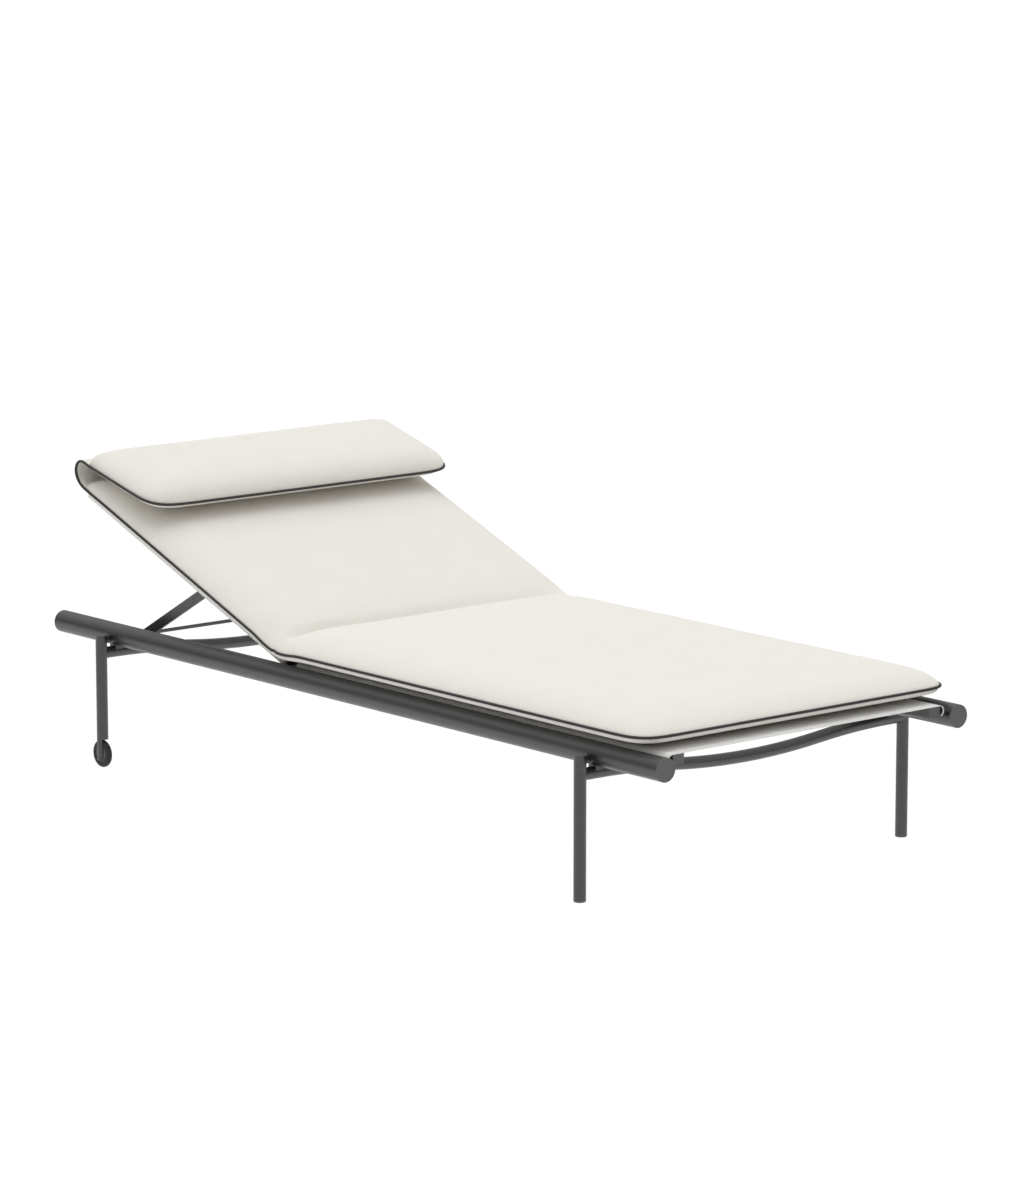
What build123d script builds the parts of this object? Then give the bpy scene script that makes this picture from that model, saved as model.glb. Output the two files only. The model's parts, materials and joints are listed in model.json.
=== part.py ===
"""Reclining sun lounger: tube frame on four legs, two wheels, sling bed, folding back and mattress.

Frame: millimetres, +Z up, origin on the ground at the centre of the plan.
+Y runs from the foot end to the head end, +X is the right side seen from the foot end.
The back is drawn in its rest position, raised by BACK_ANGLE.
"""
import os
from math import asin, cos, radians, sin, sqrt

from build123d import *

# ---------------------------------------------------------------- driving dimensions
# Side rails
RAIL_LENGTH = 2000.0      # over the end caps
RAIL_OD = 48.0
RAIL_WALL = 2.0
RAIL_SPACING = 785.0      # between the rail axes
RAIL_AXIS_Z = 289.5
RAIL_CAP = 3.0            # thickness of the end disc
CAP_ROUND = 1.0
CAP_PLUG = 14.0           # how far the caps reach into their tubes

# Legs and crossbars
LEG_OD = 25.0
LEG_WALL = 1.5
LEG_SETBACK = 203.0       # from the rail ends to the leg axes
LEG_GAP = 5.5             # between rail and leg
LEG_ABOVE_RAIL_AXIS = 3.5
LEG_CAP = 1.5
GLIDE_HEIGHT = 5.0
STANDOFF_OD = 14.0
STANDOFF_BELOW_AXIS = 9.0
CROSSBAR_OD = 25.0
CROSSBAR_WALL = 1.5
CROSSBAR_GAP = 0.5        # between rail and crossbar, closed by the saddle
CROSSBAR_SAG = 22.5
SADDLE_WIDTH = 22.0
SADDLE_HEIGHT = 15.0

# Wheels on the rear legs
WHEEL_RADIUS = 30.0
WHEEL_WIDTH = 12.0
HUB_RADIUS = 18.0
HUB_WIDTH = 10.0
AXLE_RADIUS = 4.0
RUNNING_CLEARANCE = 0.05
WHEEL_CLEARANCE = 2.0     # from the tread to the leg above it
FORK_THICKNESS = 4.5
FORK_BELOW_AXLE = 15.0
AXLE_RECESS = 0.6         # axle end below the face of the fork
WASHER_THICKNESS = 1.5
WASHER_SHARE = 1.8        # washer radius for each unit of axle radius
HUB_BOSS_SHARE = 2.0
TREAD_ROUND_SHARE = 0.4
WHEEL_SIDE_GAP = 1.5

# Sling bars: a box with a round outer chamber that carries the sling edge
BAR_BOX_WIDTH = 28.0
BAR_HEIGHT = 21.0
BAR_WALL = 2.0
BAR_END_CAP = 3.0
BED_SETBACK = 19.0        # from the rail ends to the sling bar ends
SLING_THICKNESS = 1.2
SLING_END_GAP = 20.0      # from the hinge axis to the end of each sling

# Back hinge
HINGE_SHARE = 0.105       # place of the hinge along the rails, from their middle, as a share
PAD_OVER_RAIL = 0.1       # from the top of the rails to the underside of the mattress
BACK_ANGLE = 21.0
BACK_ANGLE_MAX = 45.0
HINGE_FLANGE = 4.0
HINGE_EYE_GAP = 0.5       # from one half's eye to the other half's flange
HINGE_ARM = 11.0
HINGE_ARM_GAP = 0.4
HINGE_PIN_RADIUS = 4.0
HINGE_PIN_HEAD_SHARE = 1.6
HINGE_ARM_INSET = 1.0
HINGE_PIN_END_GAP = 1.0
HINGE_PLUG = 17.0
PLUG_CLEARANCE = 0.2

# Prop: two flat struts, joined by a rod that rests in notched racks
PROP_PIVOT_SHARE = 0.1745  # place of the pivot along the back, as a share of the rail length
PROP_PIVOT_N = -2.0       # square to the back from the hinge axis
ROD_BELOW_BAR = 7.0       # from the sling bar down to the rod axis at rest
PROP_ANGLE = 29.3         # strut slope at rest
STRUT_WIDTH = 22.0
STRUT_THICKNESS = 5.0
STRUT_GAP = 8.0           # from the sling bar to the strut
PROP_PIN_RADIUS = 4.0
PIN_HEAD = 3.0
PIN_HEAD_SHARE = 1.7      # head radius for each unit of pin radius
PIN_SIDE_GAP = 0.5        # from the strut to the shoulders of its pin
PROP_ROD_RADIUS = 4.0
ROD_OVERHANG = 38.0       # how far the rod passes outside the struts
PROP_RATIO = 2.24         # turn of the prop on the back for each degree of the back

# Racks
RACK_THICKNESS = 6.0
RACK_INSET = 16.0         # from the inner face of the sling bar to the rack
RACK_CLEARANCE = 0.6      # from the rod to the tips of the teeth
RACK_HEIGHT = 13.0
RACK_OVER_CROSSBAR = 1.0
RACK_LEAD_SHARE = 3.0     # plain length past the end notches, in notch radii
RACK_LUG_RISE = 2.0
NOTCH_DEPTH = 2.6
NOTCH_RADIUS = 4.8
NOTCH_COUNT = 7
RACK_LUG_LENGTH = 24.0
RACK_LUG_HEIGHT = 10.0
RACK_BAR_CLEARANCE = 0.8

# Cross members of the back
CROSS_WIDTH = 20.0
CROSS_LOWER_S = 24.0
CROSS_UPPER_INSET = 37.0  # from the head end of the back
CROSS_SLING_GAP = 2.5

# Hangers that carry the sling bars on the rails
HANGER_THICKNESS = 3.0
HANGER_LENGTH = 30.0
HANGER_INSET = 6.0        # from the inner face of the sling bar to the plate
HANGER_COUNT = 4
HANGER_FROM_FOOT = 81.0
HANGER_FROM_HINGE = 60.0
SCREW_INSET = 14.0
SCREW_RADIUS = 3.0
SCREW_HEAD_RADIUS = 5.0
SCREW_HEAD = 3.0
REST_PAD_BEYOND_ROD = 54.0
REST_PAD_INSET = 2.0
REST_PAD_LENGTH = 40.0
REST_PAD_THICKNESS = 4.0
REST_PAD_CLEARANCE = 0.4

# Mattress
PAD_OVERHANG = 23.5       # past the rail axes
PAD_FRONT_SETBACK = 24.0  # from the foot end of the sling bars
PAD_CORNER = 50.0
PAD_CLEARANCE = 0.4       # from the sling to the pad
PAD_THICKNESS = 72.0
PAD_TOP_ROUND = 34.0
PAD_BOTTOM_ROUND = 26.0
PAD_WEDGE_SPARE = 1.5     # degrees left between the pads at the steepest position
PAD_HEAD_SETBACK = 29.0   # from the head end of the back
PILLOW_SETBACK = 5.0      # from the head end of the back pad
PILLOW_OVER_PAD = 7.9     # from the back pad up to the seam of the pillow
PILLOW_LENGTH = 250.0
PILLOW_TILT = 7.0         # the pillow opens away from the back by this much
PILLOW_ABOVE_SEAM = 33.0
PILLOW_BELOW_SEAM = 6.0
PILLOW_ROUND = 16.0
FOLD_RADIUS = 28.0
FOLD_THICKNESS = 7.0
FOLD_BELOW_PILLOW = 24.5  # from the seam of the pillow down to the middle of the fold

# ---------------------------------------------------------------- derived sizes
RAIL_R = RAIL_OD / 2
RAIL_X = RAIL_SPACING / 2
RAIL_END = RAIL_LENGTH / 2
LEG_R = LEG_OD / 2
LEG_X = RAIL_X + RAIL_R + LEG_GAP + LEG_R
LEG_Y = RAIL_END - LEG_SETBACK
LEG_TOP = RAIL_AXIS_Z + LEG_ABOVE_RAIL_AXIS
CROSSBAR_R = CROSSBAR_OD / 2
CROSSBAR_Z = RAIL_AXIS_Z - RAIL_R - CROSSBAR_GAP - CROSSBAR_R
FORK_TOP = 2 * WHEEL_RADIUS + WHEEL_CLEARANCE
FORK_BOTTOM_Z = WHEEL_RADIUS - FORK_BELOW_AXLE
BAR_R = BAR_HEIGHT / 2
BAR_TO_HINGE = BAR_R + HINGE_EYE_GAP + HINGE_FLANGE
BAR_ROUND_X = RAIL_X - RAIL_R - BAR_R
BAR_INNER_X = BAR_ROUND_X - BAR_BOX_WIDTH
BAR_END = RAIL_END - BED_SETBACK
SLING_TOP = BAR_R + SLING_THICKNESS
PAD_BOTTOM = SLING_TOP + PAD_CLEARANCE
PAD_TOP = PAD_BOTTOM + PAD_THICKNESS
HINGE_Y = HINGE_SHARE * RAIL_LENGTH
HINGE_Z = RAIL_AXIS_Z + RAIL_R + PAD_OVER_RAIL - PAD_BOTTOM
BACK_LENGTH = BAR_END - HINGE_Y
STRUT_X = BAR_INNER_X - STRUT_GAP - STRUT_THICKNESS / 2
CROSS_UPPER_S = BACK_LENGTH - CROSS_UPPER_INSET
RACK_INNER_X = BAR_INNER_X + RACK_INSET
HANGER_INNER_X = BAR_INNER_X + HANGER_INSET
SCREW_X = BAR_INNER_X + SCREW_INSET
HANGER_FIRST = -BAR_END + HANGER_FROM_FOOT
HANGER_STEP = (HINGE_Y - HANGER_FROM_HINGE - HANGER_FIRST) / (HANGER_COUNT - 1)
HANGER_PLACES = [HANGER_FIRST + i * HANGER_STEP for i in range(HANGER_COUNT)]
PAD_HALF_WIDTH = RAIL_X + PAD_OVERHANG
PAD_FRONT_Y = -BAR_END + PAD_FRONT_SETBACK
PAD_BACK_END_S = BACK_LENGTH - PAD_HEAD_SETBACK
PILLOW_TOP_S = PAD_BACK_END_S - PILLOW_SETBACK
PILLOW_TOP_N = PAD_TOP + PILLOW_OVER_PAD
FOLD_N = PILLOW_TOP_N - FOLD_BELOW_PILLOW
PROP_PIVOT_S = PROP_PIVOT_SHARE * RAIL_LENGTH
PROP_ROD_Z = HINGE_Z - BAR_R - ROD_BELOW_BAR
PIVOT_Z_AT_REST = (HINGE_Z + PROP_PIVOT_S * sin(radians(BACK_ANGLE))
                   + PROP_PIVOT_N * cos(radians(BACK_ANGLE)))
STRUT_LENGTH = (PIVOT_Z_AT_REST - PROP_ROD_Z) / sin(radians(PROP_ANGLE))

back_place = Location((0, HINGE_Y, HINGE_Z), (BACK_ANGLE, 0, 0))
parts = {}


# ---------------------------------------------------------------- helpers
def keep(name, shape):
    """Remember a finished piece under its node name."""
    parts[name] = shape


def keep_pair(name, right_shape):
    """Keep a right-hand piece and its mirror image on the left."""
    keep(name + "_right", right_shape)
    keep(name + "_left", mirror(right_shape, about=Plane.YZ))


def keep_group(name, right_shapes):
    """Keep identical right-hand pieces and their mirror images as one node of separate solids."""
    both = list(right_shapes) + [mirror(s, about=Plane.YZ) for s in right_shapes]
    keep(name, Compound(children=[s.solid() for s in both]))


def rod_x(x0, x1, y, z, radius):
    return Pos((x0 + x1) / 2, y, z) * Rotation(0, 90, 0) * Cylinder(radius, x1 - x0)


def rod_y(x, y0, y1, z, radius):
    return Pos(x, (y0 + y1) / 2, z) * Rotation(90, 0, 0) * Cylinder(radius, y1 - y0)


def rod_z(x, y, z0, z1, radius):
    return Pos(x, y, (z0 + z1) / 2) * Cylinder(radius, z1 - z0)


def block(x0, x1, y0, y1, z0, z1):
    return Pos((x0 + x1) / 2, (y0 + y1) / 2, (z0 + z1) / 2) * Box(x1 - x0, y1 - y0, z1 - z0)


def on_back(shape):
    """Move a piece from the back's own frame (X, along, square) to its rest place."""
    return shape.moved(back_place)


# ---------------------------------------------------------------- rails
def rail():
    tube_end = RAIL_END - RAIL_CAP
    return (rod_y(RAIL_X, -tube_end, tube_end, RAIL_AXIS_Z, RAIL_R)
            - rod_y(RAIL_X, -tube_end, tube_end, RAIL_AXIS_Z, RAIL_R - RAIL_WALL))


def rail_cap():
    """End cap for the foot end of the right rail."""
    disc = rod_y(RAIL_X, -RAIL_END, -RAIL_END + RAIL_CAP, RAIL_AXIS_Z, RAIL_R)
    disc = fillet(disc.edges().filter_by(GeomType.CIRCLE).sort_by(Axis.Y)[0], CAP_ROUND)
    plug = rod_y(RAIL_X, -RAIL_END + RAIL_CAP, -RAIL_END + RAIL_CAP + CAP_PLUG, RAIL_AXIS_Z,
                 RAIL_R - RAIL_WALL - PLUG_CLEARANCE)
    return disc + plug


keep_pair("side_rail", rail())
keep_pair("rail_cap_foot", rail_cap())
keep_pair("rail_cap_head", mirror(rail_cap(), about=Plane.XZ))


# ---------------------------------------------------------------- crossbars
def crossbar_path():
    """Level at the legs and rails, then a shallow sag made of equal arcs."""
    half = RAIL_X + CROSSBAR_R / 2
    quarter = half / 2
    drop = CROSSBAR_SAG / 2
    radius = (quarter ** 2 + drop ** 2) / (2 * drop)
    slope = asin(quarter / radius)
    level = CROSSBAR_Z
    line_in = Line((-LEG_X, 0, level), (-half, 0, level))
    arc_in = TangentArc((-half, 0, level), (-quarter, 0, level - drop), tangent=(1, 0, 0))
    arc_mid = TangentArc((-quarter, 0, level - drop), (quarter, 0, level - drop),
                         tangent=(cos(slope), 0, -sin(slope)))
    arc_out = TangentArc((quarter, 0, level - drop), (half, 0, level),
                         tangent=(cos(slope), 0, sin(slope)))
    line_out = Line((half, 0, level), (LEG_X, 0, level))
    return Wire([line_in, arc_in, arc_mid, arc_out, line_out])


def swept_round(radius):
    path = crossbar_path()
    start = Plane(origin=path @ 0, z_dir=path % 0)
    return sweep(sections=start * Circle(radius), path=path)


crossbar_outer = swept_round(CROSSBAR_R)
crossbar_inner = swept_round(CROSSBAR_R - CROSSBAR_WALL)


def crossbar():
    bar = crossbar_outer - crossbar_inner
    for side in (-1, 1):
        bar -= rod_z(side * LEG_X, 0, 0, RAIL_AXIS_Z, LEG_R)
    return bar


keep("crossbar_foot", Pos(0, -LEG_Y, 0) * crossbar())
keep("crossbar_head", Pos(0, LEG_Y, 0) * crossbar())


def saddle(y):
    """Welded saddle that fills the corner between a rail and a crossbar."""
    seat = block(RAIL_X - SADDLE_WIDTH / 2, RAIL_X + SADDLE_WIDTH / 2,
                 y - SADDLE_WIDTH / 2, y + SADDLE_WIDTH / 2,
                 RAIL_AXIS_Z - RAIL_R - SADDLE_HEIGHT / 2, RAIL_AXIS_Z - RAIL_R + SADDLE_HEIGHT / 2)
    seat -= rod_y(RAIL_X, y - LEG_OD, y + LEG_OD, RAIL_AXIS_Z, RAIL_R)
    return seat - Pos(0, y, 0) * crossbar_outer


def standoff(y):
    """Short spacer between a rail and the leg beside it."""
    z = RAIL_AXIS_Z - STANDOFF_BELOW_AXIS
    spacer = rod_x(RAIL_X, LEG_X, y, z, STANDOFF_OD / 2)
    spacer -= rod_y(RAIL_X, y - LEG_OD, y + LEG_OD, RAIL_AXIS_Z, RAIL_R)
    return spacer - rod_z(LEG_X, y, 0, RAIL_AXIS_Z + RAIL_R, LEG_R)


keep_group("rail_saddles", [saddle(-LEG_Y), saddle(LEG_Y)])
keep_group("leg_standoffs", [standoff(-LEG_Y), standoff(LEG_Y)])


# ---------------------------------------------------------------- legs
def leg_tube(y, bottom):
    top = LEG_TOP - LEG_CAP
    return rod_z(LEG_X, y, bottom, top, LEG_R) - rod_z(LEG_X, y, bottom, top, LEG_R - LEG_WALL)


def leg_cap(y):
    disc = rod_z(LEG_X, y, LEG_TOP - LEG_CAP, LEG_TOP, LEG_R)
    plug = rod_z(LEG_X, y, LEG_TOP - LEG_CAP - CAP_PLUG, LEG_TOP - LEG_CAP,
                 LEG_R - LEG_WALL - PLUG_CLEARANCE)
    return disc + plug


def glide():
    foot = rod_z(LEG_X, -LEG_Y, 0, GLIDE_HEIGHT, LEG_R)
    foot = fillet(foot.edges().filter_by(GeomType.CIRCLE).sort_by(Axis.Z)[0], GLIDE_HEIGHT / 2)
    return foot + rod_z(LEG_X, -LEG_Y, GLIDE_HEIGHT, GLIDE_HEIGHT + CAP_PLUG,
                        LEG_R - LEG_WALL - PLUG_CLEARANCE)


keep_pair("leg_foot", leg_tube(-LEG_Y, GLIDE_HEIGHT))
keep_pair("leg_head", leg_tube(LEG_Y, FORK_TOP))
keep_group("leg_caps", [leg_cap(-LEG_Y), leg_cap(LEG_Y)])
keep_pair("foot_glide", glide())

# ---------------------------------------------------------------- wheels
FORK_FACE_X = LEG_X + LEG_R - FORK_THICKNESS
WHEEL_X1 = FORK_FACE_X - WHEEL_SIDE_GAP
WHEEL_X0 = WHEEL_X1 - WHEEL_WIDTH
WHEEL_MID_X = (WHEEL_X0 + WHEEL_X1) / 2


def wheel_fork():
    """Plug in the leg with one cheek that reaches down outside the wheel."""
    full = rod_z(LEG_X, LEG_Y, FORK_BOTTOM_Z, FORK_TOP, LEG_R)
    half_chord = sqrt(LEG_R ** 2 - (LEG_R - FORK_THICKNESS) ** 2)
    cheek = full & block(FORK_FACE_X, LEG_X + LEG_OD, LEG_Y - LEG_OD, LEG_Y + LEG_OD,
                         FORK_BOTTOM_Z, FORK_TOP)
    tip_z = FORK_BOTTOM_Z + half_chord
    rounding = block(FORK_FACE_X, LEG_X + LEG_OD, LEG_Y - half_chord, LEG_Y + half_chord,
                     tip_z, FORK_TOP) + rod_x(FORK_FACE_X, LEG_X + LEG_OD, LEG_Y, tip_z, half_chord)
    cheek = cheek & rounding
    plug = rod_z(LEG_X, LEG_Y, FORK_TOP, FORK_TOP + CAP_PLUG, LEG_R - LEG_WALL - PLUG_CLEARANCE)
    fork = cheek + plug
    return fork - rod_x(FORK_FACE_X - 1, LEG_X + LEG_OD, LEG_Y, WHEEL_RADIUS, AXLE_RADIUS)


def wheel_axle():
    shaft = rod_x(WHEEL_X0 - WHEEL_SIDE_GAP, LEG_X + LEG_R - AXLE_RECESS, LEG_Y, WHEEL_RADIUS, AXLE_RADIUS)
    washer = rod_x(WHEEL_X0 - WHEEL_SIDE_GAP - WASHER_THICKNESS, WHEEL_X0 - WHEEL_SIDE_GAP,
                   LEG_Y, WHEEL_RADIUS, AXLE_RADIUS * WASHER_SHARE)
    return shaft + washer


def wheel_hub():
    hub = rod_x(WHEEL_MID_X - HUB_WIDTH / 2, WHEEL_MID_X + HUB_WIDTH / 2, LEG_Y, WHEEL_RADIUS,
                HUB_RADIUS)
    hub += rod_x(WHEEL_X0, WHEEL_X1, LEG_Y, WHEEL_RADIUS, AXLE_RADIUS * HUB_BOSS_SHARE)
    return hub - rod_x(WHEEL_X0 - 1, WHEEL_X1 + 1, LEG_Y, WHEEL_RADIUS,
                       AXLE_RADIUS + RUNNING_CLEARANCE)


def wheel_tyre():
    tyre = rod_x(WHEEL_X0, WHEEL_X1, LEG_Y, WHEEL_RADIUS, WHEEL_RADIUS)
    tyre = fillet(tyre.edges().filter_by(GeomType.CIRCLE), WHEEL_WIDTH * TREAD_ROUND_SHARE)
    return tyre - rod_x(WHEEL_X0 - 1, WHEEL_X1 + 1, LEG_Y, WHEEL_RADIUS, HUB_RADIUS)


keep_pair("wheel_fork", wheel_fork())
keep_pair("wheel_axle", wheel_axle())
keep_pair("wheel_hub", wheel_hub())
keep_pair("wheel_tyre", wheel_tyre())


# ---------------------------------------------------------------- sling bars and slings
def bar_between(y0, y1):
    """Sling bar about a line at height zero: box inside, round chamber outside."""
    box = block(BAR_INNER_X, BAR_ROUND_X, y0, y1, -BAR_R, BAR_R)
    nose = rod_y(BAR_ROUND_X, y0, y1, 0, BAR_R)
    box_void = block(BAR_INNER_X + BAR_WALL, BAR_ROUND_X - BAR_WALL, y0, y1,
                     -BAR_R + BAR_WALL, BAR_R - BAR_WALL)
    nose_void = rod_y(BAR_ROUND_X, y0, y1, 0, BAR_R - BAR_WALL)
    nose_void &= block(BAR_ROUND_X, BAR_ROUND_X + BAR_R, y0, y1, -BAR_R, BAR_R)
    return box + nose - box_void - nose_void


def bar_plug(y0, y1):
    """Plug that fits the box chamber of a sling bar."""
    return block(BAR_INNER_X + BAR_WALL + PLUG_CLEARANCE, BAR_ROUND_X - BAR_WALL - PLUG_CLEARANCE,
                 y0, y1, -BAR_R + BAR_WALL + PLUG_CLEARANCE, BAR_R - BAR_WALL - PLUG_CLEARANCE)


def bar_end_cap(y0, y1, inward):
    """Plate that closes the box chamber, with its plug on the inward side."""
    plate = block(BAR_INNER_X, BAR_ROUND_X, y0, y1, -BAR_R, BAR_R)
    if inward > 0:
        return plate + bar_plug(y1, y1 + CAP_PLUG)
    return plate + bar_plug(y0 - CAP_PLUG, y0)


def sling_between(y0, y1):
    """Flat stretched cloth that lies over both bars, out to the crest of their round edges."""
    return block(-BAR_ROUND_X, BAR_ROUND_X, y0, y1, BAR_R, SLING_TOP)


def seat_level(shape):
    return Pos(0, 0, HINGE_Z) * shape


SEAT_BAR_END = HINGE_Y - BAR_TO_HINGE
seat_bar = seat_level(bar_between(-BAR_END + BAR_END_CAP, SEAT_BAR_END))
back_bar = bar_between(BAR_TO_HINGE, BACK_LENGTH - BAR_END_CAP)


def hanger(y):
    """Plate under a sling bar, welded to the rail."""
    z1 = HINGE_Z - BAR_R
    plate = block(HANGER_INNER_X, RAIL_X, y - HANGER_LENGTH / 2, y + HANGER_LENGTH / 2,
                  z1 - HANGER_THICKNESS, z1)
    plate -= rod_y(RAIL_X, y - HANGER_LENGTH, y + HANGER_LENGTH, RAIL_AXIS_Z, RAIL_R)
    return plate


def hanger_screw(y):
    z1 = HINGE_Z - BAR_R
    head = rod_z(SCREW_X, y, z1 - HANGER_THICKNESS - SCREW_HEAD, z1 - HANGER_THICKNESS,
                 SCREW_HEAD_RADIUS)
    shank = rod_z(SCREW_X, y, z1 - HANGER_THICKNESS, z1 + BAR_R, SCREW_RADIUS)
    return head + shank


hangers = [hanger(y) - hanger_screw(y) for y in HANGER_PLACES]
screws = [hanger_screw(y) for y in HANGER_PLACES]
for screw in screws:
    seat_bar -= screw
keep_pair("seat_bar", seat_bar)
keep_pair("seat_bar_cap", seat_level(bar_end_cap(-BAR_END, -BAR_END + BAR_END_CAP, 1)))
keep_group("seat_hangers", hangers)
keep_group("hanger_screws", screws)
keep("seat_sling", seat_level(sling_between(-BAR_END, HINGE_Y - SLING_END_GAP)))

# ---------------------------------------------------------------- back frame
keep_pair("back_bar", on_back(back_bar))
keep_pair("back_bar_cap", on_back(bar_end_cap(BACK_LENGTH - BAR_END_CAP, BACK_LENGTH, -1)))
keep("back_sling", on_back(sling_between(SLING_END_GAP, BACK_LENGTH)))


def back_cross(s0):
    return block(-BAR_INNER_X, BAR_INNER_X, s0, s0 + CROSS_WIDTH, -BAR_R, BAR_R - CROSS_SLING_GAP)


keep("back_cross_lower", on_back(back_cross(CROSS_LOWER_S)))
keep("back_cross_upper", on_back(back_cross(CROSS_UPPER_S)))

# ---------------------------------------------------------------- hinges
BASE_ARM_X0 = BAR_INNER_X + HINGE_ARM_INSET
BASE_ARM_X1 = BASE_ARM_X0 + HINGE_ARM
BACK_ARM_X0 = BASE_ARM_X1 + HINGE_ARM_GAP
BACK_ARM_X1 = BACK_ARM_X0 + HINGE_ARM


def hinge_half(arm_x0, arm_x1, bore):
    """Hinge arm that leaves the end of a bar towards the axis at the origin, bar along +Y."""
    flange = block(BAR_INNER_X, BAR_ROUND_X, BAR_TO_HINGE - HINGE_FLANGE, BAR_TO_HINGE,
                   -BAR_R, BAR_R)
    arm = block(arm_x0, arm_x1, 0, BAR_TO_HINGE - HINGE_FLANGE, -BAR_R, BAR_R)
    eye = rod_x(arm_x0, arm_x1, 0, 0, BAR_R)
    half = flange + arm + eye + bar_plug(BAR_TO_HINGE, BAR_TO_HINGE + HINGE_PLUG)
    return half - rod_x(arm_x0 - 1, arm_x1 + 1, 0, 0, bore)


base_hinge = Pos(0, HINGE_Y, HINGE_Z) * mirror(
    hinge_half(BASE_ARM_X0, BASE_ARM_X1, HINGE_PIN_RADIUS), about=Plane.XZ)
keep_pair("seat_hinge", base_hinge)
keep_pair("back_hinge", on_back(hinge_half(BACK_ARM_X0, BACK_ARM_X1,
                                           HINGE_PIN_RADIUS + RUNNING_CLEARANCE)))
PIN_END_X = BACK_ARM_X1 + HINGE_PIN_END_GAP
hinge_pin = rod_x(BASE_ARM_X0, PIN_END_X, HINGE_Y, HINGE_Z, HINGE_PIN_RADIUS)
hinge_pin += rod_x(PIN_END_X, PIN_END_X + PIN_HEAD, HINGE_Y, HINGE_Z,
                   HINGE_PIN_RADIUS * HINGE_PIN_HEAD_SHARE)
keep_pair("hinge_pin", hinge_pin)


# ---------------------------------------------------------------- prop
def rod_place(back_angle):
    """Centre of the prop rod (Y, Z) when the back stands at this angle."""
    turn = radians(back_angle)
    pivot_y = HINGE_Y + PROP_PIVOT_S * cos(turn) - PROP_PIVOT_N * sin(turn)
    pivot_z = HINGE_Z + PROP_PIVOT_S * sin(turn) + PROP_PIVOT_N * cos(turn)
    slope = radians(PROP_ANGLE + (PROP_RATIO - 1) * (back_angle - BACK_ANGLE))
    return pivot_y + STRUT_LENGTH * cos(slope), pivot_z - STRUT_LENGTH * sin(slope)


def prop_place():
    """Location that puts the strut's own frame (pivot at the origin, strut along +Y) at rest."""
    turn = radians(BACK_ANGLE)
    return Location((0, HINGE_Y + PROP_PIVOT_S * cos(turn) - PROP_PIVOT_N * sin(turn),
                     PIVOT_Z_AT_REST), (-PROP_ANGLE, 0, 0))


def strut():
    x0 = STRUT_X - STRUT_THICKNESS / 2
    x1 = STRUT_X + STRUT_THICKNESS / 2
    blade = block(x0, x1, 0, STRUT_LENGTH, -STRUT_WIDTH / 2, STRUT_WIDTH / 2)
    blade += rod_x(x0, x1, 0, 0, STRUT_WIDTH / 2)
    blade += rod_x(x0, x1, STRUT_LENGTH, 0, STRUT_WIDTH / 2)
    blade -= rod_x(x0 - 1, x1 + 1, 0, 0, PROP_PIN_RADIUS + RUNNING_CLEARANCE)
    blade -= rod_x(x0 - 1, x1 + 1, STRUT_LENGTH, 0, PROP_ROD_RADIUS)
    return blade.moved(prop_place())


def prop_pin():
    """Shouldered pin fixed in the inner wall of the back bar."""
    x0 = STRUT_X - STRUT_THICKNESS / 2
    x1 = STRUT_X + STRUT_THICKNESS / 2
    shoulder = PROP_PIN_RADIUS * PIN_HEAD_SHARE
    pin = rod_x(x0 - PIN_SIDE_GAP, BAR_INNER_X, 0, 0, PROP_PIN_RADIUS)
    pin += rod_x(x0 - PIN_SIDE_GAP - PIN_HEAD, x0 - PIN_SIDE_GAP, 0, 0, shoulder)
    pin += rod_x(x1 + PIN_SIDE_GAP, BAR_INNER_X, 0, 0, shoulder)
    return on_back(pin.moved(Location((0, PROP_PIVOT_S, PROP_PIVOT_N))))


keep_pair("prop_strut", strut())
keep_pair("prop_pin", prop_pin())
rod_y0, rod_z0 = rod_place(BACK_ANGLE)
rod_half = STRUT_X + STRUT_THICKNESS / 2 + ROD_OVERHANG
keep("prop_rod", rod_x(-rod_half, rod_half, rod_y0, rod_z0, PROP_ROD_RADIUS))


# ---------------------------------------------------------------- racks
def rack():
    """Notched plate under the back bar; its top edge follows the path of the rod."""
    x1 = RACK_INNER_X + RACK_THICKNESS
    ceiling = HINGE_Z - BAR_R - RACK_BAR_CLEARANCE
    angles = [BACK_ANGLE_MAX * i / (NOTCH_COUNT - 1) for i in range(NOTCH_COUNT)]
    angles.sort(key=lambda a: abs(a - BACK_ANGLE))
    angles[0] = BACK_ANGLE
    angles.sort()
    places = [rod_place(a) for a in angles]
    tips = [(y, min(z - PROP_ROD_RADIUS - RACK_CLEARANCE, ceiling)) for y, z in places]
    lead = RACK_LEAD_SHARE * NOTCH_RADIUS
    floor = CROSSBAR_Z + CROSSBAR_R + RACK_OVER_CROSSBAR
    top = [(tips[0][0] + lead, tips[0][1])] + tips + [(tips[-1][0] - lead, tips[-1][1])]
    bottom = [(y, max(z - RACK_HEIGHT, floor)) for y, z in reversed(top)]
    outline = Polyline(*[(RACK_INNER_X, y, z) for y, z in top + bottom], close=True)
    plate = extrude(make_face(outline), amount=RACK_THICKNESS, dir=(1, 0, 0))
    for y, z in tips:
        plate -= rod_x(RACK_INNER_X - 1, x1 + 1, y, z + NOTCH_RADIUS - NOTCH_DEPTH, NOTCH_RADIUS)
    for y, z in (top[0], top[-1]):
        inward = RACK_LUG_LENGTH if y == top[0][0] else 0
        lug_z = max(z - RACK_HEIGHT, floor) + RACK_LUG_RISE
        lug_top = min(lug_z + RACK_LUG_HEIGHT, z)
        lug = block(x1, RAIL_X, y - inward, y - inward + RACK_LUG_LENGTH, lug_z, lug_top)
        plate += lug
    return plate - rod_y(RAIL_X, -RAIL_END, RAIL_END, RAIL_AXIS_Z, RAIL_R)


keep_pair("prop_rack", rack())


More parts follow.
